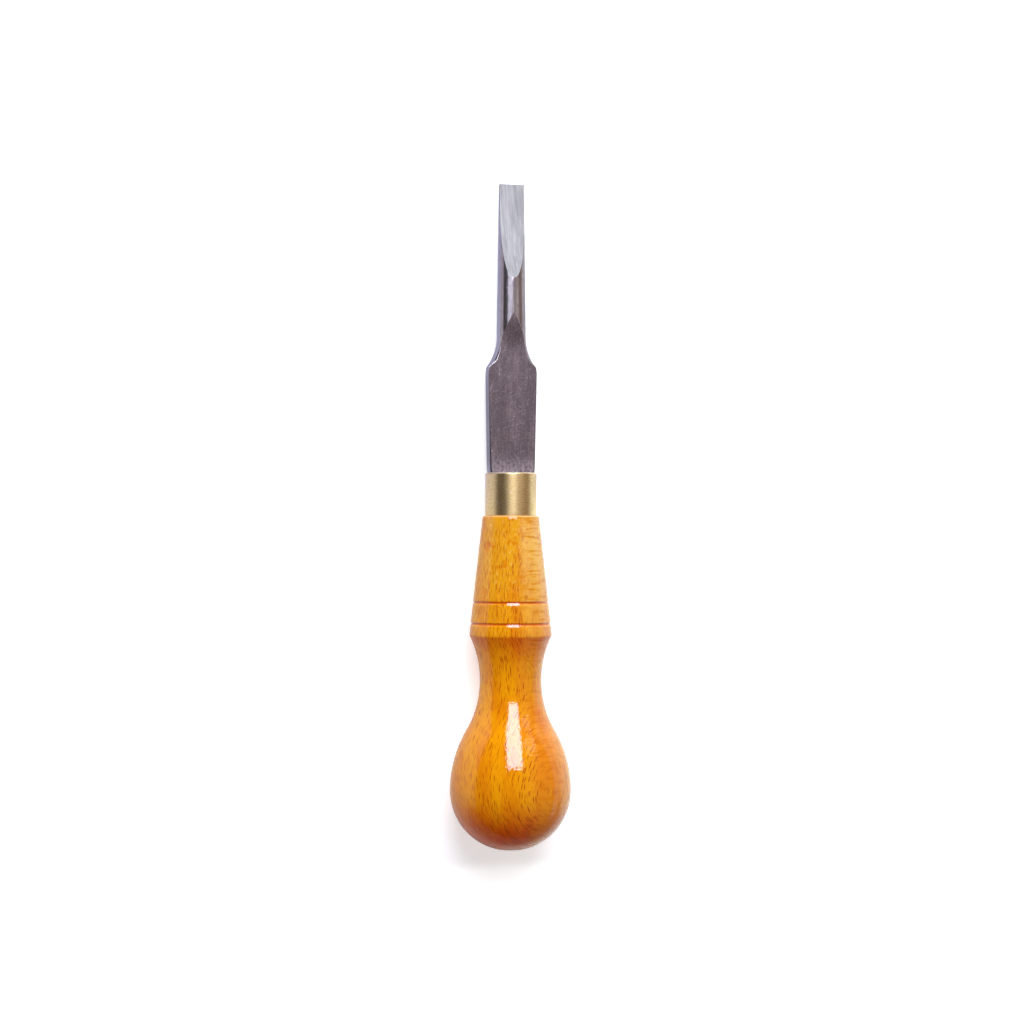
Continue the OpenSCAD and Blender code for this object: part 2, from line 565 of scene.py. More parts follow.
    def _ground(self, sheet: NodeSheet, figure: Figure) -> Field:
        """Colour the wood between its rays, with painted glints and, on faces turned towards the butt,
        painted shade.

        Args:
            sheet: Sheet to build on.
            figure: The wood's patterns.

        Returns:
            The colour.
        """
        grain = figure.grain
        broad = sheet.noise(grain, (0.22, 0.05, 0.22), 3.0, 0.55)
        tone = self._rings(sheet, grain) * 0.2 + figure.fibre.evened()
        tone = (tone * 0.55 + broad.evened(-0.3, 0.45)).clamped()
        # Painted light: paler towards the tool's left side.
        tone = (tone + figure.across.span(*self.painted_light_span, -self.painted_light_by, 0.0)).clamped()
        wood = sheet.blend(tone, self.light, self.deep)
        wood = sheet.blend(figure.thin_coat * self.golden_strength, wood, self.golden)
        curls = sheet.noise(grain, (0.5, 0.33, 0.5), 2.0, 0.7).span(0.52, 0.66)
        wood = sheet.blend(curls * (figure.thin_coat * self.curl_strength), wood, self.deep)
        # Painted glints: pale spots of the sheen colour, strongest towards the ferrule.
        glint_spots = sheet.noise(grain, (2.0, 0.9, 2.0), 2.0, 0.7).span(0.55, 0.75)
        glint = figure.thin_coat * self.glint_strength + self.least_lustre
        wood = sheet.blend(glint_spots * glint, wood, self.sheen)
        # Darker and redder towards the butt: partly end grain, partly painted shade.
        end_grain = sheet.mark(Mark.END_GRAIN_AND_SHADE).span(0.04, 0.68)
        return sheet.blend(end_grain + broad.evened(-0.12, 0.12), wood, self.soaked_and_shaded)

    def _rings(self, sheet: NodeSheet, grain: Field) -> Field:
        """Draw the growth rings round the pith.

        Args:
            sheet: Sheet to build on.
            grain: Place turned into the grain.

        Returns:
            Value that rises through each ring to its late wood.
        """
        from_pith = sheet.vector("ADD", grain, (0, 0, self.pith_distance))
        reach = sheet.vector("LENGTH", sheet.vector("MULTIPLY", from_pith, (1, 0.02, 1)))
        wander = sheet.noise(grain, (0.1, 0.04, 0.1)) * self.ring_wander
        turn = sheet.math("FRACT", sheet.math("DIVIDE", reach + wander, self.ring_width))
        return turn.span(0.45, 0.93) * turn.span(0.94, 1.0, 1.0, 0.0)

    def _relief(self, sheet: NodeSheet, figure: Figure) -> Field:
        """Shape the lacquer: slow ripples, pores, sunken rays and a patch on the bulb that dried in waves.

        Args:
            sheet: Sheet to build on.
            figure: The wood's patterns.

        Returns:
            The height.
        """
        ripple = sheet.noise(figure.grain, (1.7, 0.45, 1.7), 2.0, 0.5)
        pores = sheet.noise(figure.grain, (2.2, 1.7, 2.2), 0.0, 0.5)
        waves = sheet.noise(figure.here, (0.5, 1.7, 0.5), 1.0, 0.6)
        side = math.radians(self.ripple_side)
        towards = sheet.vector("DOT_PRODUCT", sheet.outward(figure.here), (math.sin(side), 0, math.cos(side)))
        patch = towards.span(*(math.cos(math.radians(half)) for half in self.ripple_half))
        patch = patch * (figure.along.span(*self.ripple_foot) * figure.along.span(*self.ripple_top))
        height = ripple * 0.5 + pores * 0.85 - figure.rays * 0.1
        return height + (waves - 0.5) * patch * 3.5


@dataclass(frozen=True)
class SatinBrass:
    """Drawn brass tube with a satin polish and the first dull patches."""

    clean: Colour = (0.84, 0.625, 0.265, 1)
    dull: Colour = (0.62, 0.42, 0.15, 1)
    bright: Colour = (1.0, 0.92, 0.68, 1)
    roughness: Pair = (0.29, 0.37)
    relief_depth: float = 0.012
    anisotropy: float = 0.3
    anisotropy_turn: float = 0.25
    coat: float = 0.5
    coat_roughness: float = 0.22
    coat_ior: float = 1.75

    def material(self, effects: Effects) -> bpy.types.Material:
        """Build the finish.

        Args:
            effects: Shared effects.

        Returns:
            The material.
        """
        material, sheet, shader = new_material("satin_brass")
        here = sheet.here()
        drawn = sheet.group(effects.scratches, {"Place": here, "Breadth": 0.16, "Length": 3.5})
        specks = sheet.group(effects.specks, {"Place": here, "Spacing": 2.6, "Size": 0.13, "Share": 0.45})
        # The rim's rubbing is partly a painted highlight line along the top of the ferrule.
        rim = sheet.group(effects.worn_edge_highlight, {"Place": here, "Edge": sheet.mark(Mark.WEAR_AND_HIGHLIGHT), "Amount": 1.0})
        grit = sheet.noise(here, 3.0, 1.0, 0.6)
        patches = sheet.noise(here, 0.35, 3.0, 0.6)

        metal = sheet.blend(patches.span(0.35, 0.75, 0.0, 0.35), self.clean, self.dull)
        metal = sheet.blend(grit.span(0.5, 0.66, 0.0, 0.55), metal, self.dull)
        metal = sheet.blend(grit.span(0.5, 0.34, 0.0, 0.35), metal, self.bright)
        # Specks, and the rim's rubbing and painted highlight, lighten the brass.
        for worn_and_highlit in (rim, specks):
            metal = sheet.blend(worn_and_highlit, metal, self.bright)
        height = grit * 0.7 + drawn * 0.3 - specks * 2.0
        sheet.fill(shader, {
            "Base Color": metal,
            "Metallic": 1.0,
            "Roughness": grit.span(0.2, 0.8, *self.roughness) + drawn * 0.04,
            "Normal": sheet.bump(height, self.relief_depth),
            "Tangent": sheet.round_axis(),
            "Anisotropic": self.anisotropy,
            "Anisotropic Rotation": self.anisotropy_turn,
            "Coat Weight": self.coat,
            "Coat Roughness": self.coat_roughness,
            "Coat IOR": self.coat_ior,
        })
        return material


@dataclass(frozen=True)
class Steel:
    """Tool steel with the marks of how one zone of the blade was made."""

    name: str
    base: Colour
    shade: Colour
    bright: Colour
    metallic: float
    roughness: float
    anisotropy: float
    anisotropy_turn: float
    line_breadth: float
    line_length: float
    line_slant: float
    line_depth: float
    grit: float
    wear: float
    scuffs: float = 0.0
    haze: float = 0.0
    haze_foot: float = 11.3
    haze_top: float = 17.0
    PIT: ClassVar[Colour] = (0.05, 0.04, 0.045, 1)
    SCUFF_SLANTS: ClassVar[Triple] = (24.0, -37.0, 71.0)

    def material(self, effects: Effects) -> bpy.types.Material:
        """Build the finish.

        Args:
            effects: Shared effects.

        Returns:
            The material.
        """
        material, sheet, shader = new_material(self.name)
        here = sheet.here()
        slanted = sheet.placed(here, turn=(0, 0, self.line_slant))
        elsewhere = sheet.placed(here, turn=(20, 30, 0))
        lines = sheet.group(effects.scratches, {
            "Place": slanted, "Breadth": self.line_breadth, "Length": self.line_length,
        })
        specks = sheet.group(effects.specks, {"Place": here, "Spacing": 1.9, "Size": 0.12, "Share": 0.3})
        pits = sheet.group(effects.specks, {"Place": elsewhere, "Spacing": 3.1, "Size": 0.1, "Share": 0.4})
        # Edge rubbing, partly a painted highlight line on the arrises and the tip's edges.
        edge = sheet.group(effects.worn_edge_highlight, {
            "Place": here, "Edge": sheet.mark(Mark.WEAR_AND_HIGHLIGHT), "Amount": self.wear,
        })
        fine = sheet.noise(here, 2.3, 4.0, 0.75)
        cloud = sheet.noise(here, (0.3, 0.1, 0.3), 3.0, 0.55)

        tone = lines * 0.5 + fine.evened(0.0, self.grit)
        metal = sheet.blend((tone + cloud.evened(-0.2, 0.3)).clamped(), self.base, self.shade)
        metal = sheet.blend(specks * (0.75 * self.grit), metal, self.bright)
        metal = sheet.blend(pits * (0.9 * self.grit), metal, self.PIT)
        for worn_and_highlit in (self._scuffing(sheet, effects, here), edge):
            metal = sheet.blend(worn_and_highlit, metal, self.bright)
        uneven = 0.06 * self.grit
        rough = fine.span(0.25, 0.75, -uneven, uneven) + self.roughness
        height = lines + fine * self.grit - pits * self.grit
        sheet.fill(shader, {
            "Base Color": metal,
            "Metallic": self.metallic,
            "Roughness": rough + (lines - 0.5) * 0.08,
            "Normal": sheet.bump(height, self.line_depth),
            "Tangent": sheet.round_axis(),
            "Anisotropic": self.anisotropy,
            "Anisotropic Rotation": self.anisotropy_turn,
        })
        return material

    def _scuffing(self, sheet: NodeSheet, effects: Effects, here: Field) -> Field:
        """Stray scratches at odd angles, and a pale rubbed haze where the blade meets the ferrule.

        Args:
            sheet: Sheet to build on.
            effects: Shared effects.
            here: Place on the blade.

        Returns:
            The mask.
        """
        layers = []
        for slant in self.SCUFF_SLANTS:
            place = sheet.placed(here, turn=(0, 0, slant))
            lines = sheet.group(effects.scratches, {"Place": place, "Breadth": 0.22, "Length": 4.5})
            layers.append(lines.span(0.93, 1.0, 0.0, self.scuffs))
        strays = sheet.math("MAXIMUM", sheet.math("MAXIMUM", layers[0], layers[1]), layers[2])
        _, along = sheet.split(here)
        near = along.span(self.haze_foot, self.haze_top, self.haze, 0.0)
        cloud = sheet.noise(here, (1.6, 0.9, 1.6), 3.0, 0.75)
        return (strays + near * cloud.evened()).clamped()


FORGED_STEEL = Steel(
    name="forged_steel",
    base=(0.43, 0.407, 0.412, 1),
    shade=(0.32, 0.287, 0.297, 1),
    bright=(0.70, 0.69, 0.70, 1),
    metallic=1.0,
    roughness=0.22,
    anisotropy=0.25,
    anisotropy_turn=0.25,
    line_breadth=0.4,
    line_length=1.6,
    line_slant=0.0,
    line_depth=0.0008,
    grit=0.08,
    wear=0.5,
)
GROUND_FLAT_STEEL = Steel(
    name="ground_flat_steel",
    base=(0.221, 0.166, 0.171, 1),
    shade=(0.097, 0.071, 0.075, 1),
    bright=(0.62, 0.56, 0.62, 1),
    metallic=0.35,
    roughness=0.34,
    anisotropy=0.3,
    anisotropy_turn=0.0,
    line_breadth=0.30,
    line_length=7.0,
    line_slant=1.5,
    line_depth=0.012,
    grit=0.8,
    wear=0.6,
    scuffs=0.22,
    haze=0.5,
)
GROUND_TIP_STEEL = Steel(
    name="ground_tip_steel",
    base=(0.330, 0.327, 0.318, 1),
    shade=(0.160, 0.160, 0.157, 1),
    bright=(0.40, 0.395, 0.38, 1),
    metallic=0.25,
    roughness=0.46,
    anisotropy=0.3,
    anisotropy_turn=0.0,
    line_breadth=0.45,
    line_length=14.0,
    line_slant=-5.0,
    line_depth=0.003,
    grit=0.06,
    wear=0.55,
)


@dataclass(frozen=True)
class WhitePaper:
    """White paper that keeps the tool's soft shadow, with what the tool's gloss shows of it.

    A pair of colours is for the left and the right of the tool, and places are in metres.
    The colours that the gloss sees are painted reflections: painted shade beside the spade and past the butt,
    and painted tints beside the handle and the blade, brighter than the lit paper right of the handle.
    """

    white: Colour = (0.755, 0.77, 0.765, 1)
    beside_handle: tuple[Colour, Colour] = ((0.65, 0.64, 0.55, 1), (1.10, 1.18, 1.00, 1))
    beside_blade: tuple[Colour, Colour] = ((0.54, 0.54, 0.70, 1), (0.56, 0.55, 0.56, 1))
    beside_spade: tuple[Colour, Colour] = ((0.34, 0.33, 0.42, 1), (1.0, 0.98, 1.0, 1))
    past_butt: Colour = (0.085, 0.06, 0.07, 1)
    past_butt_share: float = 0.85
    side_span: Pair = (-0.01, 0.01)
    blade_span: Pair = (-0.004, 0.012)
    spade_foot: Pair = (0.011, 0.015)
    spade_top: Pair = (0.034, 0.046)
    butt_span: Pair = (-0.16, -0.085)
    # Painted light: where the paper glows more to the camera past the butt.
    clearing_span: Pair = (-0.0925, -0.0965)
    seen_glow: Pair = (0.56, 0.73)
    gloss_glow: float = 0.12
    bounce: Pair = (0.3575, 0.9075)

    def material(self) -> bpy.types.Material:
        """Build the finish.

        Returns:
            The material, which is clear from below so that the floor never hides the tool.
        """
        material = bpy.data.materials.new("white_paper")
        material.use_nodes = True
        sheet = NodeSheet(material.node_tree)
        material.node_tree.nodes.clear()
        across, along = sheet.split(sheet.field("ShaderNodeTexCoord", "Object"))
        side = across.span(*self.side_span)
        path = sheet.node("ShaderNodeLightPath")
        in_gloss = sheet.read(path, "Is Glossy Ray")

        white = sheet.blend(in_gloss, self.white, self._gloss_tint(sheet, side, along))
        paper = sheet.field("ShaderNodeBsdfDiffuse", 0, {"Color": white})
        # Painted light: more glow past the butt fades the tool's shadow there.
        glow = sheet.seen(path) * along.span(*self.clearing_span, *self.seen_glow)
        glow = glow + in_gloss * self.gloss_glow
        glow = glow + sheet.read(path, "Is Diffuse Ray") * side.span(0.0, 1.0, *self.bounce)
        light = sheet.field("ShaderNodeEmission", 0, {"Color": (1, 1, 1, 1), "Strength": glow})
        both = sheet.field("ShaderNodeAddShader", 0, {0: paper, 1: light})
        below = sheet.field("ShaderNodeNewGeometry", "Backfacing")
        clear = sheet.field("ShaderNodeBsdfTransparent", 0)
        shown = sheet.field("ShaderNodeMixShader", 0, {0: below, 1: both, 2: clear})
        sheet.node("ShaderNodeOutputMaterial", {"Surface": shown})
        return material

    def _gloss_tint(self, sheet: NodeSheet, side: Field, along: Field) -> Field:
        """Painted reflection: colour of the paper as the tool's gloss shows it, beside each piece and past
        the butt.

        Args:
            sheet: Sheet to build on.
            side: From 0 on the tool's left to 1 on its right.
            along: Place along the tool, in metres.

        Returns:
            The colour.
        """
        by_blade = along.span(*self.blade_span)
        by_spade = along.span(*self.spade_foot) * along.span(*self.spade_top, 1.0, 0.0)
        tints = []
        for handle, blade, spade in zip(self.beside_handle, self.beside_blade, self.beside_spade):
            tint = sheet.blend(by_blade, handle, blade)
            tints.append(sheet.blend(by_spade, tint, spade))
        behind = along.span(*self.butt_span, self.past_butt_share, 0.0)
        return sheet.blend(behind, sheet.blend(side, *tints), self.past_butt)


def finished(bm: bmesh.types.BMesh, name: str) -> bpy.types.Object:
    """Turn a shape modelled in millimetres into a smooth piece at the origin.

    Args:
        bm: The shape, which is freed.
        name: Name of the piece.

    Returns:
        The piece.
    """
    bmesh.ops.recalc_face_normals(bm, faces=bm.faces[:])
    bmesh.ops.scale(bm, vec=(MM, MM, MM), verts=bm.verts[:])
    mesh = bpy.data.meshes.new(name)
    bm.to_mesh(mesh)
    bm.free()
    mesh.shade_smooth()
    mesh.set_sharp_from_angle(angle=math.radians(SHARP_ANGLE))
    piece = bpy.data.objects.new(name, mesh)
    bpy.context.scene.collection.objects.link(piece)
    return piece


def turned(outline: Sequence[Pair], steps: int) -> bmesh.types.BMesh:
    """Spin an outline about the tool's axis.

    Args:
        outline: Points as radius and place along the axis, joined in a loop if its ends are off the axis.
        steps: Steps round the axis.

    Returns:
        The closed shape.
    """
    bm = bmesh.new()
    points = [bm.verts.new((radius, along, 0)) for radius, along in outline]
    edges = [bm.edges.new(pair) for pair in zip(points, points[1:])]
    if outline[0][0] > 0 and outline[-1][0] > 0:
        edges.append(bm.edges.new((points[-1], points[0])))
    bmesh.ops.spin(bm, geom=points + edges, cent=(0, 0, 0), axis=(0, 1, 0), dvec=(0, 0, 0),
                   angle=math.tau, steps=steps, use_merge=True, use_duplicate=False)
    bmesh.ops.remove_doubles(bm, verts=bm.verts[:], dist=MERGE_GAP)
    return bm


def arc(centre: Pair, radius: float, start: float, end: float, step: float) -> list[Pair]:
    """Points along an arc.

    Args:
        centre: Centre as radius and place along the axis.
        radius: Radius of the arc.
        start: First angle in degrees.
        end: Last angle in degrees.
        step: Largest angle between two points.

    Returns:
        The points, both ends included.
    """
    count = max(3, math.ceil(abs(end - start) / step))
    angles = [math.radians(angle) for angle in spread(start, end, count)]
    return [(centre[0] + radius * math.cos(angle), centre[1] + radius * math.sin(angle)) for angle in angles]


def arc_radius(run: float, rise: float) -> float:
    """Radius of an arc that starts level and gains a rise over a run."""
    return (run ** 2 + rise ** 2) / (2 * rise)


def heading(start: Pair, end: Pair) -> float:
    """Angle of the line between two points, in degrees."""
    return math.degrees(math.atan2(end[1] - start[1], end[0] - start[0]))


def spread(start: float, end: float, count: int, power: float = 1.0) -> list[float]:
    """Even steps, or steps that crowd towards the start where power is above 1."""
    return [start + (end - start) * (index / count) ** power for index in range(count + 1)]


def curve(share: float, start: float, corner: float, end: float) -> float:
    """Value at a share of the curve that leaves its start and meets its end heading for a corner."""
    return (1 - share) ** 2 * start + 2 * share * (1 - share) * corner + share ** 2 * end


def limited(value: float) -> float:
    """Keep a share between 0 and 1."""
    return min(1.0, max(0.0, value))


def set_mark(piece: bpy.types.Object, which: Mark, values: Iterable[float]) -> None:
    """Store one value for each point of a piece."""
    made = piece.data.attributes.new(which.value, "FLOAT", "POINT")
    made.data.foreach_set("value", list(values))


def join_tool(piece: bpy.types.Object, node: str) -> None:
    """Let a piece stand for its CAD node, which is hidden, and ride on the tool.

    Args:
        piece: The piece.
        node: Name of the CAD node.
    """
    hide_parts(node)
    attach(piece, "root")


@dataclass
class Blade:
    """One forging: ground tip, oval neck, hollow-swept shoulders, flat spade and hidden tang.

    A fullness of 2 gives a plain oval section, and more squares its sides.
    """

    root: float = 5.35
    rim: float = 11.35
    shoulder: float = 39.30
    neck: float = 47.30
    flat_end: float = 53.75
    facet: float = 62.65
    tip: float = 87.55
    root_half: float = 6.22
    shoulder_half: float = 6.62
    neck_half: float = 3.90
    tip_half: float = 3.35
    oval: float = 0.76
    flat_half: float = 1.85
    fade_length: float = 10.0
    tip_half_thickness: float = 0.5
    wheel_radius: float = 200.0
    facet_turn: float = 6.325
    corner_before: float = 0.5
    corner_after: float = 0.39
    corner_run: float = 4.2
    corner_drop: float = 0.3
    neck_fullness: float = 2.1
    spade_fullness: float = 4.0
    root_fullness: float = 2.4
    root_shown: float = 0.1
    root_run: float = 1.4
    arris: float = 0.09
    arris_tip: float = 0.06
    arris_gain: Pair = (0.65, 0.2)
    arris_power: float = 1.3
    arris_share: float = 0.45
    tip_hold: float = 0.22
    tip_hold_from: float = 2.0
    dent: float = 0.002
    dent_cell: Pair = (0.25, 0.3)
    dent_layer: float = 4.7
    dent_from: float = 1.0
    dent_run: Pair = (4.0, 6.0)
    tip_margin: float = 1.0
    tip_rub_and_highlight: Pair = (0.6, 0.3)
    rub_and_highlight_run: float = 3.0
    tang_length: float = 45.0
    tang_half: Pair = (3.0, 1.6)
    tang_taper: float = 0.5
    tang_top: float = 0.99
    tang_round: float = 0.15
    end_break: float = 0.07
    flat_steps: int = 8
    arris_steps: int = 6
    side_steps: int = 16
    side_crowding: float = 1.25

    def build(self, effects: Effects) -> bpy.types.Object:
        """Make and dress the blade.

        Args:
            effects: Shared effects.

        Returns:
            The blade.
        """
        sections = self._sections()
        rows = len(sections) - 1
        columns = len(sections[0][1])
        bm = bmesh.new()
        # Rubbing and a painted highlight line on the arrises and the tip's edges.
        wear = bm.verts.layers.float.new(Mark.WEAR_AND_HIGHLIGHT.value)
        bmesh.ops.create_grid(bm, x_segments=columns, y_segments=rows, size=1.0)
        place = {}
        for vert in bm.verts:
            place[vert] = (round((vert.co.x + 1) / 2 * columns), round((vert.co.y + 1) / 2 * rows))
        for face in bm.faces:
            across = min(place[vert][0] for vert in face.verts)
            along = min(place[vert][1] for vert in face.verts)
            face.material_index = self._zone(across, sections[along][0]).value
        for vert, (column, row) in place.items():
            along, points = sections[row]
            half, height = points[column % columns]
            vert.co = (half, along, height)
            vert[wear] = self._wear(column % columns, along)
        bmesh.ops.remove_doubles(bm, verts=bm.verts[:], dist=MERGE_GAP)
        bmesh.ops.dissolve_degenerate(bm, edges=bm.edges[:], dist=MERGE_GAP / 10)
        ends = [edge for edge in bm.edges if edge.is_boundary]
        for cap in bmesh.ops.holes_fill(bm, edges=ends, sides=0)["faces"]:
            cap.material_index = Zone.GROUND_TIP.value
        blade = finished(bm, "blade_forging")
        for finish in (FORGED_STEEL, GROUND_FLAT_STEEL, GROUND_TIP_STEEL):
            blade.data.materials.append(finish.material(effects))
        join_tool(blade, "blade")
        return blade

    def _sections(self) -> list[tuple[float, list[Pair]]]:
        """Cut every section from the tang's foot to the tip.

        Returns:
            Each section's place along the axis and its closed ring of points.
        """
        sections = []
        for along, share in ((self.root - self.tang_length, self.tang_taper), (self.root, self.tang_top)):
            quarter = self._tang_quarter(share)
            sections.append((along, self._ring(quarter, quarter)))
        for along in self._stations():
            sections.append((along, self._ring(self._quarter(along), self._quarter(along, under=True))))
        last = sections[-1][1]
        across = 1 - self.end_break / self.tip_half
        upward = 1 - self.end_break / self.tip_half_thickness
        sections.append((self.tip, [(half * across, height * upward) for half, height in last]))
        return sections

    def _stations(self) -> list[float]:
        """Choose the places of the sections, crowded where a ground surface runs out.

        Returns:
            The places along the axis, in order.
        """
        before, after = self._corner()
        fade = self.flat_end - self.fade_length
        turned_in = self.facet + self.facet_turn
        found = sorted([
            *spread(self.root, self.rim, 4),
            *spread(self.rim, before, 26),
            *spread(before, after, 8),
            *spread(after, fade, 18),
            *spread(self.flat_end, fade, 36, power=1.6),
            *spread(self.flat_end, self.facet, 14),
            *spread(self.facet, turned_in, 30, power=2.0),
            *spread(turned_in, self.tip - self.end_break, 22),
        ])
        return found[:1] + [place for last, place in zip(found, found[1:]) if place - last > 10 * MERGE_GAP]

    def _corner(self) -> Pair:
        """Where the rounding of the shoulder's corner starts and ends along the axis."""
        return self.shoulder - self.corner_before, self.shoulder + self.corner_after

    def _spade_half(self, along: float) -> float:
        """Half the spade's width, which grows a little towards the shoulders."""
        slope = (self.shoulder_half - self.root_half) / (self.shoulder - self.rim)
        return self.root_half + slope * (along - self.rim)

    def _sweep_half(self, along: float) -> float:
        """Half the width in the hollow sweep from the shoulders to the neck."""
        sweep = arc_radius(self.neck - self.shoulder, self.shoulder_half - self.neck_half)
        return self.neck_half + sweep - math.sqrt(sweep ** 2 - (self.neck - along) ** 2)

    def _half_width(self, along: float) -> float:
        """Half the blade's width.

        Args:
            along: Place along the axis.

        Returns:
            The half width.
        """
        if along <= self.rim:
            return self.root_half
        if along >= self.neck:
            share = (along - self.neck) / (self.tip - self.neck)
            return self.neck_half + (self.tip_half - self.neck_half) * share
        before, after = self._corner()
        if along <= before:
            return self._spade_half(along)
        if along >= after:
            return self._sweep_half(along)
        square = before - 2 * self.shoulder + after
        slope = 2 * (self.shoulder - before)
        share = (math.sqrt(slope ** 2 - 4 * square * (before - along)) - slope) / (2 * square)
        return curve(share, self._spade_half(before), self.shoulder_half, self._sweep_half(after))

    def _half_height(self, along: float) -> float:
        """Half the thickness that the grinding leaves.

        Args:
            along: Place along the axis.

        Returns:
            The half thickness.
        """
        if along < self.flat_end:
            rise = self.oval * self._half_width(self.flat_end) - self.flat_half
            radius = self.fade_length ** 2 / (4 * rise)
            left = min(self.fade_length, self.flat_end - along)
            run = self.fade_length - left
            if run < left:
                return self.flat_half + radius - math.sqrt(radius ** 2 - run ** 2)
            return self.flat_half + rise - radius + math.sqrt(radius ** 2 - left ** 2)
        if along > self.facet:
            start = Vector((self.facet, self.oval * self._half_width(self.facet)))
            end = Vector((self.tip, self.tip_half_thickness))
            chord = end - start
            lift = math.sqrt(self.wheel_radius ** 2 - chord.length_squared / 4)
            wheel = (start + end) / 2 + Vector((-chord.y, chord.x)).normalized() * lift
            return wheel.y - math.sqrt(self.wheel_radius ** 2 - (along - wheel.x) ** 2)
        return self.oval * self._half_width(along)

    def _arris_breadth(self, along: float, under: bool) -> float:
        """Breadth of the rounded arris, which is fullest on top near the ferrule and crisp at the tip.

        Args:
            along: Place along the axis.
            under: Whether the arris is below.

        Returns:
            The breadth.
        """
        if along > self.facet:
            return self.arris_tip
        rounded = max(0.0, (self.shoulder - along) / (self.shoulder - self.rim)) ** self.arris_power
        return self.arris + self.arris_gain[under] * rounded

    def _past_corner(self, along: float) -> float:
        """How far a place is past the shoulder's corner and in the sweep, from 0 to 1."""
        share = limited(0.5 + (along - self.shoulder + self.corner_drop) / self.corner_run)
        return share * share * (3 - 2 * share)

    def _half_tall(self, along: float) -> float:
        """Half the thickness of the forged oval, which the sweep spreads wider but not thicker."""
        half = self._half_width(along)
        return self.oval * (half + (min(half, self.neck_half) - half) * self._past_corner(along))

    def _fullness(self, along: float) -> float:
        """How full the section is: squarest on the spade, and nearly a plain oval on the neck and inside.

        Args:
            along: Place along the axis.

        Returns:
            The fullness.
        """
        outside = limited((along - self.rim - self.root_shown) / self.root_run)
        change = self.neck_fullness - self.spade_fullness
        shown = self.spade_fullness + change * self._past_corner(along)
        return self.root_fullness + (shown - self.root_fullness) * outside

    @staticmethod
    def _rim_point(half: float, tall: float, fullness: float, angle: float) -> Pair:
        """Point on the oval section at an angle, from 0 at its widest to a right angle at its top."""
        power = 2 / fullness
        return half * max(0.0, math.cos(angle)) ** power, tall * max(0.0, math.sin(angle)) ** power

    def _flat_points(self, edge: float, hold: float, height: float) -> list[Pair]:
        """Points from the middle of a flat out to its edge, the last two a hold apart."""
        even = spread(0.0, edge - hold, self.flat_steps - 1)
        return [(half, height) for half in (*even, edge)]

    def _quarter(self, along: float, under: bool = False) -> list[Pair]:
        """Draw one quarter of a section, from the middle of the flat over the arris to the widest point.

        Args:
            along: Place of the section along the axis.
            under: Whether it is one of the two quarters below.

        Returns:
            The points as half width and height.
        """
        search_step = 0.002
        half = self._half_width(along)
        tall = self._half_tall(along)
        fullness = self._fullness(along)
        height = min(self._half_height(along), tall)
        turn = math.asin((height / tall) ** (fullness / 2))
        flat = self._rim_point(half, tall, fullness, turn)[0]
        breadth = min(self._arris_breadth(along, under), self.arris_share * flat)
        hold = self.tip_hold if along > self.facet + self.tip_hold_from else breadth / 4
        points = self._flat_points(flat - breadth, hold, height)
        side = (flat, height)
        while math.dist(side, (flat, height)) < breadth:
            turn -= search_step
            side = self._rim_point(half, tall, fullness, turn)
        for share in spread(0.0, 1.0, self.arris_steps)[1:]:
            across = curve(share, flat - breadth, flat, side[0])
            points.append((across, curve(share, height, height, side[1])))
        for share in spread(0.0, 1.0, self.side_steps, self.side_crowding)[1:]:
            across, upward = self._rim_point(half, tall, fullness, turn * (1 - share))
            dented = 1 + self.dent * self._hammering(across, along)
            points.append((dented * across, dented * upward))
        return points

    def _hammering(self, across: float, along: float) -> float:
        """Slight unevenness that the forging leaves, none near the ferrule and the tip.

        Args:
            across: Place across the blade.
            along: Place along the axis.

        Returns:
            The unevenness, from -1 to 1.
        """
        clear_of_rim = limited((along - self.rim - self.dent_from) / self.dent_run[0])
        clear_of_tip = limited((self.facet + self.dent_run[1] - along) / self.dent_run[1])
        cell = (across * self.dent_cell[0], along * self.dent_cell[1], self.dent_layer)
        return min(clear_of_rim, clear_of_tip) * noise.noise(Vector(cell))

    def _tang_quarter(self, share: float) -> list[Pair]:
        """Draw one quarter of the tang's rectangle, with rounded corners.

        Args:
            share: Share of the tang's full size.

        Returns:
            The points as half width and height.
        """
        half = self.tang_half[0] * share - self.tang_round
        height = self.tang_half[1] * share - self.tang_round
        points = self._flat_points(half, self.tang_round / 4, height + self.tang_round)
        points += arc((half, height), self.tang_round, 90, 0, 90 / self.arris_steps)[1:]
        points += [(half + self.tang_round, level) for level in spread(height, 0.0, self.side_steps)[1:]]
        return points

    @staticmethod
    def _ring(above: Sequence[Pair], below: Sequence[Pair]) -> list[Pair]:
        """Mirror an upper and a lower quarter into the whole ring."""
        right = list(above) + [(half, -height) for half, height in reversed(below[:-1])]
        return right + [(-half, height) for half, height in reversed(right[1:-1])]

    def _step(self, column: int) -> int:
        """Step of a ring's column within its quarter.

        Args:
            column: Column of the ring.

        Returns:
            The step, from 0 at the middle of the flat.
        """
        last = self.flat_steps + self.arris_steps + self.side_steps
        column = column % (2 * last)
        return min(column, 2 * last - column)

    def _zone(self, column: int, along: float) -> Zone:
        """Tell which zone the face between a column and the next is in.

        Args:
            column: Column of the ring.
            along: Place of the face's lower edge along the axis.

        Returns:
            The zone.
        """
        on_tip = along >= self.facet - self.tip_margin
        ground = self.flat_steps + (self.arris_steps if on_tip else 1)
        outer_step = max(self._step(column), self._step(column + 1))
        if outer_step > ground or along < self.root + self.end_break:
            return Zone.FORGED
        return Zone.GROUND_TIP if on_tip else Zone.GROUND_FLAT

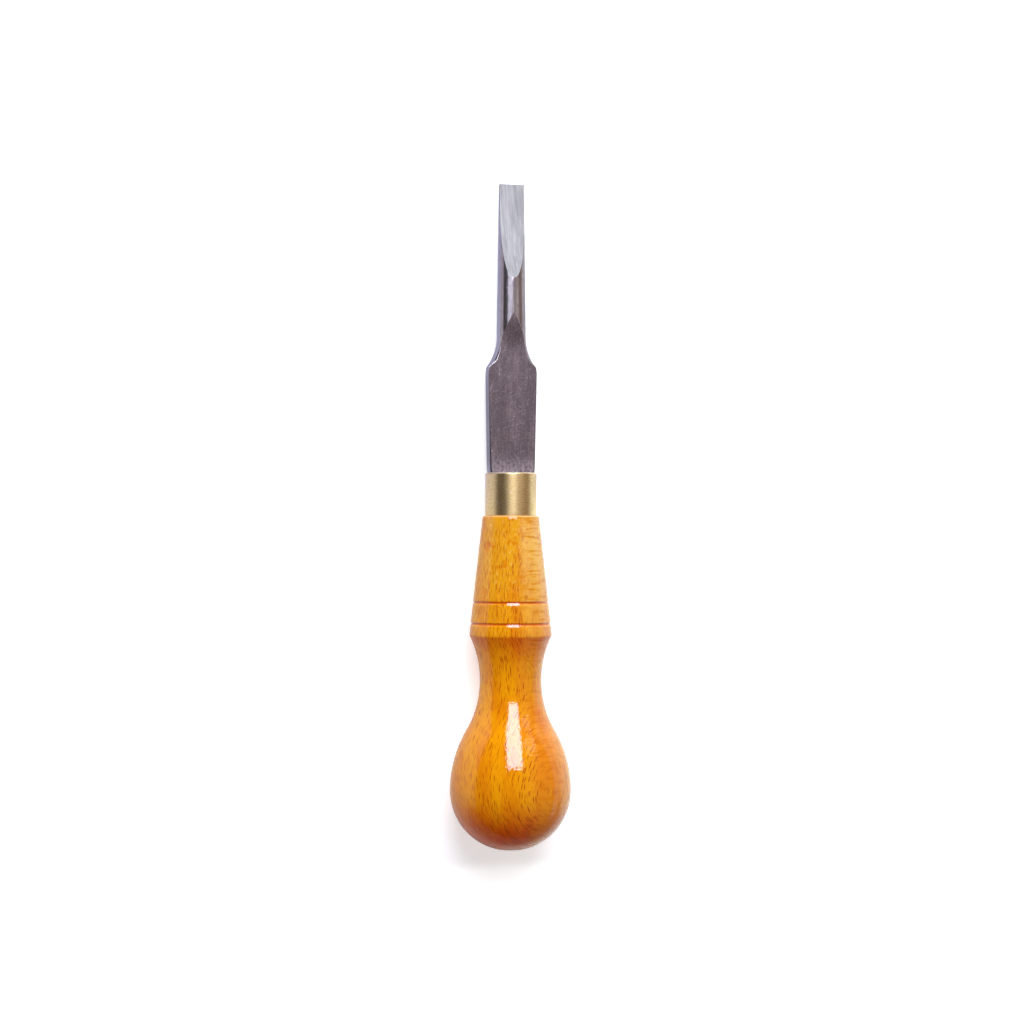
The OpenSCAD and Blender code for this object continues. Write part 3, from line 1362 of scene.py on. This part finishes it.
    def _wear(self, column: int, along: float) -> float:
        """Tell how rubbed a point is, on the arrises past the shoulder and along the tip's edges, where the
        rubbing is partly a painted highlight line.

        Args:
            column: Column of the ring.
            along: Place along the axis.

        Returns:
            The rubbing, from 0 to 1.
        """
        past_flat = self._step(column) - self.flat_steps
        if along > self.facet + self.tip_hold_from:
            return {0: self.tip_rub_and_highlight[0], -1: self.tip_rub_and_highlight[1]}.get(past_flat, 0.0)
        # Rubbing and a painted highlight line on the arrises past the shoulder.
        rubbed = limited((along - self.shoulder + self.rub_and_highlight_run) / self.rub_and_highlight_run)
        return rubbed if 0 < past_flat < self.arris_steps else 0.0


@dataclass
class Ferrule:
    """Drawn brass tube round the end of the wood."""

    outer: float = 6.75
    bore: float = 6.30
    length: float = 11.35
    foot_round: float = 0.14
    rim_rise: float = 0.27
    rim_run: float = 0.30
    rim_soft: float = 0.03
    rim_edge: Pair = (0.02, 0.04)
    wall_margin: Pair = (0.3, 0.2)
    mouth_break: float = 0.06
    worn_highlight_reach: float = 0.4
    wall_steps: int = 8
    steps: int = 144

    def build(self, effects: Effects) -> bpy.types.Object:
        """Make and dress the ferrule.

        Args:
            effects: Shared effects.

        Returns:
            The ferrule.
        """
        foot_centre = (self.outer - self.foot_round, self.foot_round)
        rim_foot = self.length - self.rim_rise
        wall = spread(self.wall_margin[0], rim_foot - self.wall_margin[1], self.wall_steps)
        outline = [
            (self.bore, 0.0),
            *arc(foot_centre, self.foot_round, -90, 0, 30),
            *[(self.outer, along) for along in wall],
            (self.outer, rim_foot - self.rim_edge[1]),
            (self.outer - self.rim_edge[0], rim_foot),
            (self.outer - self.rim_run + self.rim_soft, self.length - self.rim_soft),
            (self.outer - self.rim_run, self.length),
            (self.bore + self.mouth_break, self.length),
            (self.bore, self.length - self.mouth_break),
        ]
        ferrule = finished(turned(outline, self.steps), "brass_ferrule")
        # Rubbing and a painted highlight line near the rim.
        below_rim = [self.length - vert.co.y / MM for vert in ferrule.data.vertices]
        set_mark(ferrule, Mark.WEAR_AND_HIGHLIGHT, [max(0.0, 1 - drop / self.worn_highlight_reach) for drop in below_rim])
        ferrule.data.materials.append(SatinBrass().material(effects))
        join_tool(ferrule, "ferrule")
        return ferrule


@dataclass
class Handle:
    """Turned handle: slotted spigot, cone with two grooves, bead, waist and bulb."""

    spigot: float = 6.25
    spigot_break: float = 0.5
    wood_top: float = 10.55
    seat: float = 7.45
    seat_round: float = 0.5
    ledge_reach: float = 0.9
    cone_top: float = -1.2
    cone_taper: float = 0.11
    bead_round: float = 1.6
    waist_half: float = 8.1
    waist_at: float = -43.2
    waist_radius: float = 26.0
    bulb_half: float = 15.95
    bulb_at: float = -72.1
    butt_half: float = 3.80
    butt_at: float = -87.5
    groove_offset: float = 2.9
    groove_gap: float = 5.6
    groove_half: float = 0.36
    groove_lip: float = 0.80
    groove_depth: float = 0.22
    slot_half: float = 1.90
    slot_floor: float = 5.30
    slot_reach: float = 6.0
    socket_half: Pair = (3.05, 1.65)
    socket_floor: float = -39.70
    socket_taper: float = 0.52
    socket_overlap: float = 1.0
    recess_clear: float = 0.1
    ledge_clear: float = 0.2
    cone_steps: int = 26
    groove_steps: tuple[int, int] = (8, 10)
    seat_step: float = 12.0
    bead_step: float = 4.0
    waist_step: float = 1.6
    front_step: float = 1.5
    end_step: float = 2.2
    steps: int = 160

    def build(self) -> bpy.types.Object:
        """Make and dress the handle.

        Returns:
            The handle.
        """
        handle = finished(turned(self._outline(), self.steps), "turned_handle")
        self._carve(handle)
        points = [vert.co / MM for vert in handle.data.vertices]
        # Faces turned towards the butt take the end grain's colour and painted shade.
        set_mark(handle, Mark.END_GRAIN_AND_SHADE, [max(0.0, -vert.normal.y) for vert in handle.data.vertices])
        set_mark(handle, Mark.RECESS, [self._recess(point) for point in points])
        set_mark(handle, Mark.LEDGE, [self._ledge(point) for point in points])
        handle.data.materials.clear()
        handle.data.materials.append(LacqueredBeech().material())
        join_tool(handle, "handle")
        return handle

    def _crest(self) -> Pair:
        """Find the centre of the bead's crest, an arc that touches the cone and the hollow of the waist.

        Returns:
            The centre as radius and place along the axis.
        """
        lean = math.atan(self.cone_taper)
        along = Vector((math.sin(lean), -math.cos(lean)))
        inward = Vector((-math.cos(lean), -math.sin(lean)))
        waist = Vector((self.waist_half + self.waist_radius, self.waist_at))
        start = Vector((self.seat, 0)) + self.bead_round * inward - waist
        ahead = start.dot(along)
        reach = self.waist_radius + self.bead_round
        run = -ahead - math.sqrt(ahead ** 2 - start.length_squared + reach ** 2)
        crest = waist + start + run * along
        return crest.x, crest.y

    def _grooves(self) -> Pair:
        """Places of the two grooves along the axis."""
        lower = self._crest()[1] + self.groove_offset
        return lower, lower + self.groove_gap

    def _groove(self, along: float) -> float:
        """Depth of a groove, with softly rounded lips.

        Args:
            along: Place along the axis.

        Returns:
            The depth, which is 0 away from the grooves.
        """
        depth = 0.0
        for centre in self._grooves():
            away = (along - centre) / (self.groove_half if along > centre else -self.groove_lip)
            if away < 1:
                depth = self.groove_depth * (0.5 + 0.5 * math.cos(math.pi * away))
        return depth

    def _down_cone(self, foot: float) -> list[Pair]:
        """Outline of the cone and its grooves.

        Args:
            foot: Where the cone meets the bead's crest.

        Returns:
            The points from the ferrule down.
        """
        above, below = self.groove_steps
        places = set(spread(self.cone_top, foot, self.cone_steps))
        for centre in self._grooves():
            places.update(spread(centre + self.groove_half, centre, above))
            places.update(spread(centre, centre - self.groove_lip, below))
        ordered = sorted(places, reverse=True)
        return [(self.seat - self.cone_taper * along - self._groove(along), along) for along in ordered]

    def _outline(self) -> list[Pair]:
        """Draw the outline from the top of the spigot down to the butt.

        Returns:
            The points as radius and place along the axis.
        """
        lean = math.atan(self.cone_taper)
        tilt = math.degrees(lean)
        seat = (self.seat + self.seat_round * (self.cone_taper - 1 / math.cos(lean)), -self.seat_round)
        crest = self._crest()
        waist = (self.waist_half + self.waist_radius, self.waist_at)
        turn = heading(crest, waist)
        both_radii = arc_radius(self.waist_at - self.bulb_at, self.bulb_half - self.waist_half)
        front_radius = both_radii - self.waist_radius
        front = (self.bulb_half - front_radius, self.bulb_at)
        end_radius = arc_radius(self.bulb_at - self.butt_at, self.bulb_half - self.butt_half)
        end = (self.bulb_half - end_radius, self.bulb_at)
        butt = heading(end, (self.butt_half, self.butt_at))
        return [
            (0.0, self.wood_top),
            (self.spigot - self.spigot_break, self.wood_top),
            (self.spigot, self.wood_top - self.spigot_break),
            (self.spigot, 0.0),
            *arc(seat, self.seat_round, 90, tilt, self.seat_step),
            *self._down_cone(crest[1] + self.bead_round * math.sin(lean))[:-1],
            *arc(crest, self.bead_round, tilt, turn, self.bead_step),
            *arc(waist, self.waist_radius, turn + 180, heading(waist, front) + 360, self.waist_step)[1:],
            *arc(front, front_radius, heading(front, waist), 0, self.front_step)[1:],
            *arc(end, end_radius, 0, butt, self.end_step)[1:],
            (0.0, self.butt_at),
        ]

    def _carve(self, handle: bpy.types.Object) -> None:
        """Cut the slot for the spade's root and the socket for the tang.

        Args:
            handle: The turned handle, whose mesh is replaced.
        """
        slot = bmesh.new()
        bmesh.ops.create_cube(slot, size=2.0)
        bmesh.ops.scale(slot, vec=(2 * self.spigot, self.slot_reach, self.slot_half), verts=slot.verts[:])
        bmesh.ops.translate(slot, vec=(0, self.slot_floor + self.slot_reach, 0), verts=slot.verts[:])
        socket = bmesh.new()
        bmesh.ops.create_cube(socket, size=2.0)
        for vert in socket.verts:
            top = vert.co.y > 0
            share = 1.0 if top else self.socket_taper
            half, height = (share * size for size in self.socket_half)
            along = self.slot_floor + self.socket_overlap if top else self.socket_floor
            vert.co = (vert.co.x * half, along, vert.co.z * height)
        cutters = [finished(slot, "slot_cutter"), finished(socket, "socket_cutter")]
        for cutter in cutters:
            cut = handle.modifiers.new(cutter.name, "BOOLEAN")
            cut.operation = "DIFFERENCE"
            cut.solver = "EXACT"
            cut.object = cutter
        carved = handle.evaluated_get(bpy.context.evaluated_depsgraph_get())
        handle.data = bpy.data.meshes.new_from_object(carved)
        handle.data.name = handle.name
        handle.modifiers.clear()
        for cutter in cutters:
            bpy.data.objects.remove(cutter)

    def _outside(self, point: Vector, clear: float) -> bool:
        """Tell whether a point is clear of the spigot and so on the outside of the wood."""
        return math.hypot(point.x, point.z) > self.spigot + clear

    def _recess(self, point: Vector) -> float:
        """How deep in a groove a point lies, from 0 to 1."""
        deep = 2 * self._groove(point.y) / self.groove_depth - 1
        return max(0.0, deep) if self._outside(point, self.recess_clear) else 0.0

    def _ledge(self, point: Vector) -> float:
        """How near the seat's edge a point lies, from 0 to 1."""
        near = limited(1 + point.y / self.ledge_reach)
        return near if self._outside(point, self.ledge_clear) else 0.0


def facing(place: Vector, back: Vector, roll: float = 0.0) -> Matrix:
    """Stand a camera or lamp so that it looks against a direction, with the tool's tip upwards.

    Args:
        place: Where it stands.
        back: Unit direction from what it looks at to where it stands.
        roll: Turn about that direction, in degrees.

    Returns:
        Its matrix.
    """
    right = Vector((0, 1, 0)).cross(back).normalized()
    upright = back.cross(right)
    turn = Matrix((right, upright, back)).transposed().to_4x4()
    return Matrix.Translation(place) @ turn @ Matrix.Rotation(math.radians(roll), 4, "Z")


def direction(across: float, towards_tip: float) -> Vector:
    """Unit direction away from the tool's axis.

    Args:
        across: Angle across the tool in degrees, which is 0 straight above the blade's flat.
        towards_tip: Angle towards the tip in degrees.

    Returns:
        The direction.
    """
    side = math.radians(across)
    lean = math.radians(towards_tip)
    return Vector((math.sin(side) * math.cos(lean), math.sin(lean), math.cos(side) * math.cos(lean)))


@dataclass(frozen=True)
class Softbox:
    """A plain rectangular lamp, placed by the angles at which a point on the tool's axis sees it.

    Angles are in degrees, the aim is in millimetres along the axis, and the distance is in metres.
    """

    name: str
    across: float
    towards_tip: float
    width: float
    height: float
    radiance: float
    colour: Triple
    aim: float = -60.0
    distance: float = 1.0
    grid: float = 180.0
    gloss_only: bool = False

    def build(self) -> None:
        """Hang the lamp so that it faces its aim, with a grid where its light must not stray."""
        back = direction(self.across, self.towards_tip)
        lamp = bpy.data.lights.new(self.name, "AREA")
        lamp.shape = "RECTANGLE"
        lamp.size = 2 * self.distance * math.tan(math.radians(self.width / 2))
        lamp.size_y = 2 * self.distance * math.tan(math.radians(self.height / 2))
        lamp.energy = self.radiance * math.pi * lamp.size * lamp.size_y
        lamp.color = self.colour
        lamp.spread = math.radians(self.grid)
        hung = bpy.data.objects.new(self.name, lamp)
        hung.matrix_world = facing(Vector((0, self.aim * MM, 0)) + back * self.distance, back)
        hung.visible_camera = False
        hung.visible_diffuse = not self.gloss_only
        bpy.context.scene.collection.objects.link(hung)
        LOG.info("%s: %.1f W", self.name, lamp.energy)


LAMPS = (
    Softbox("key_softbox", across=-5.5, towards_tip=40, width=30, height=40,
            radiance=10.8, colour=(0.97, 0.97, 1.12)),
    Softbox("key_gleam", across=-5.5, towards_tip=40, width=30, height=40,
            radiance=1.0, colour=(0.45, 0.70, 1.40), distance=0.99, gloss_only=True),
    Softbox("left_strip", across=-72, towards_tip=9, width=40, height=22,
            radiance=0.05, colour=(0.90, 0.86, 1.0), aim=58, distance=0.16, grid=40),
    Softbox("right_strip", across=34, towards_tip=8, width=96, height=25,
            radiance=0.03, colour=(1.0, 0.94, 1.0), aim=32, distance=0.16, grid=40),
    Softbox("right_low", across=74, towards_tip=9, width=40, height=22,
            radiance=0.0145, colour=(1.0, 0.92, 1.0), aim=60, distance=0.16, grid=40),
    Softbox("window", across=38, towards_tip=39, width=22, height=12,
            radiance=2.4, colour=(1.0, 0.97, 0.60)),
)


@dataclass(frozen=True)
class DimRoom:
    """White backdrop to the camera, and a dim room in gloss and in the light that it sheds."""

    ambient: Colour = (0.18, 0.18, 0.18, 1)
    left_wall: Colour = (0.054, 0.036, 0.036, 1)
    right_wall: Colour = (0.26, 0.180, 0.148, 1)
    ground: Colour = (0.75, 0.75, 0.78, 1)
    white: Colour = (1, 1, 1, 1)
    floor_normal: Triple = (0, -0.09, 1)
    right_lift: float = 0.15
    butt_drop: float = 0.3
    skirting_span: Pair = (0.02, 0.10)

    def build(self, scene: bpy.types.Scene) -> None:
        """Put the room round the scene.

        Args:
            scene: Scene that gets the world.
        """
        world = bpy.data.worlds.new("studio")
        world.use_nodes = True
        scene.world = world
        sheet = NodeSheet(world.node_tree)
        world.node_tree.nodes.clear()
        path = sheet.node("ShaderNodeLightPath")
        outlook = sheet.field("ShaderNodeTexCoord", "Generated")
        level = sheet.vector("DOT_PRODUCT", outlook, self.floor_normal)
        side = sheet.vector("DOT_PRODUCT", outlook, (1, 0, 0)).span(-0.3, 0.6)
        behind = sheet.vector("DOT_PRODUCT", outlook, (0, -1, 0)).span(0.3, 0.9)
        skirting = level - side * self.right_lift + behind * self.butt_drop
        walls = sheet.blend(side, self.left_wall, self.right_wall)
        backdrop = sheet.blend(skirting.span(*self.skirting_span), self.ground, walls)
        shed = sheet.blend(sheet.read(path, "Is Glossy Ray"), self.ambient, backdrop)
        sky = sheet.blend(sheet.seen(path), shed, self.white)
        background = sheet.field("ShaderNodeBackground", 0, {"Color": sky, "Strength": 1.0})
        sheet.node("ShaderNodeOutputWorld", {"Surface": background})


@dataclass
class Studio:
    """Camera, pale floor, soft lamps and the dim room round them."""

    blade: Blade
    handle: Handle
    camera_distance: float = 600.0
    lens: float = 80.0
    sensor: float = 36.0
    clip: Pair = (0.01, 20.0)
    camera_side: float = -15.0
    camera_towards_butt: float = 0.8
    camera_roll: float = 0.1
    aim_along: float = 1.06
    aim_right: float = 0.29
    floor_reach: float = 3.0

    def build(self) -> None:
        """Set up the whole studio."""
        scene = bpy.context.scene
        scene.view_settings.view_transform = "Standard"
        self._camera(scene)
        self._floor(scene)
        DimRoom().build(scene)
        for lamp in LAMPS:
            lamp.build()

    def _camera(self, scene: bpy.types.Scene) -> None:
        """Stand the camera over the tool, a little to one side.

        Args:
            scene: Scene that gets the camera.
        """
        back = direction(self.camera_side, -self.camera_towards_butt)
        right = direction(self.camera_side + 90, 0)
        aim = Vector((0, self.aim_along, 0)) + self.aim_right * right
        data = bpy.data.cameras.new("camera")
        data.lens = self.lens
        data.sensor_width = self.sensor
        data.clip_start, data.clip_end = self.clip
        camera = bpy.data.objects.new("camera", data)
        camera.matrix_world = facing((aim + back * self.camera_distance) * MM, back, self.camera_roll)
        scene.collection.objects.link(camera)
        scene.camera = camera

    def _floor(self, scene: bpy.types.Scene) -> None:
        """Lay the floor under the bulb and the tip, which the tool rests on.

        Args:
            scene: Scene that gets the floor.
        """
        bulb = Vector((self.handle.bulb_at, -self.handle.bulb_half))
        tip = Vector((self.blade.tip, -self.blade.tip_half_thickness))
        slope = math.atan2(tip.y - bulb.y, tip.x - bulb.x)
        sink = (1 / math.cos(slope) - 1) * self.handle.bulb_half
        drop = bulb.y - math.tan(slope) * bulb.x - sink
        bm = bmesh.new()
        bmesh.ops.create_circle(bm, cap_ends=True, radius=self.floor_reach, segments=64)
        bmesh.ops.rotate(bm, matrix=Matrix.Rotation(slope, 3, "X"), cent=(0, 0, 0), verts=bm.verts[:])
        bmesh.ops.translate(bm, vec=(0, 0, drop * MM), verts=bm.verts[:])
        mesh = bpy.data.meshes.new("floor")
        bm.to_mesh(mesh)
        bm.free()
        floor = bpy.data.objects.new("floor", mesh)
        floor.data.materials.append(WhitePaper().material())
        scene.collection.objects.link(floor)


def main() -> None:
    """Load the frame, set up the studio, and build and report each piece in order."""
    logging.basicConfig(level=logging.INFO, format="%(name)s: %(message)s")
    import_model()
    effects = Effects()
    blade = Blade()
    handle = Handle()
    Studio(blade, handle).build()
    for piece in (blade.build(effects), Ferrule().build(effects), handle.build()):
        LOG.info("%s: %d faces", piece.name, len(piece.data.polygons))


if __name__ == "__main__":
    main()
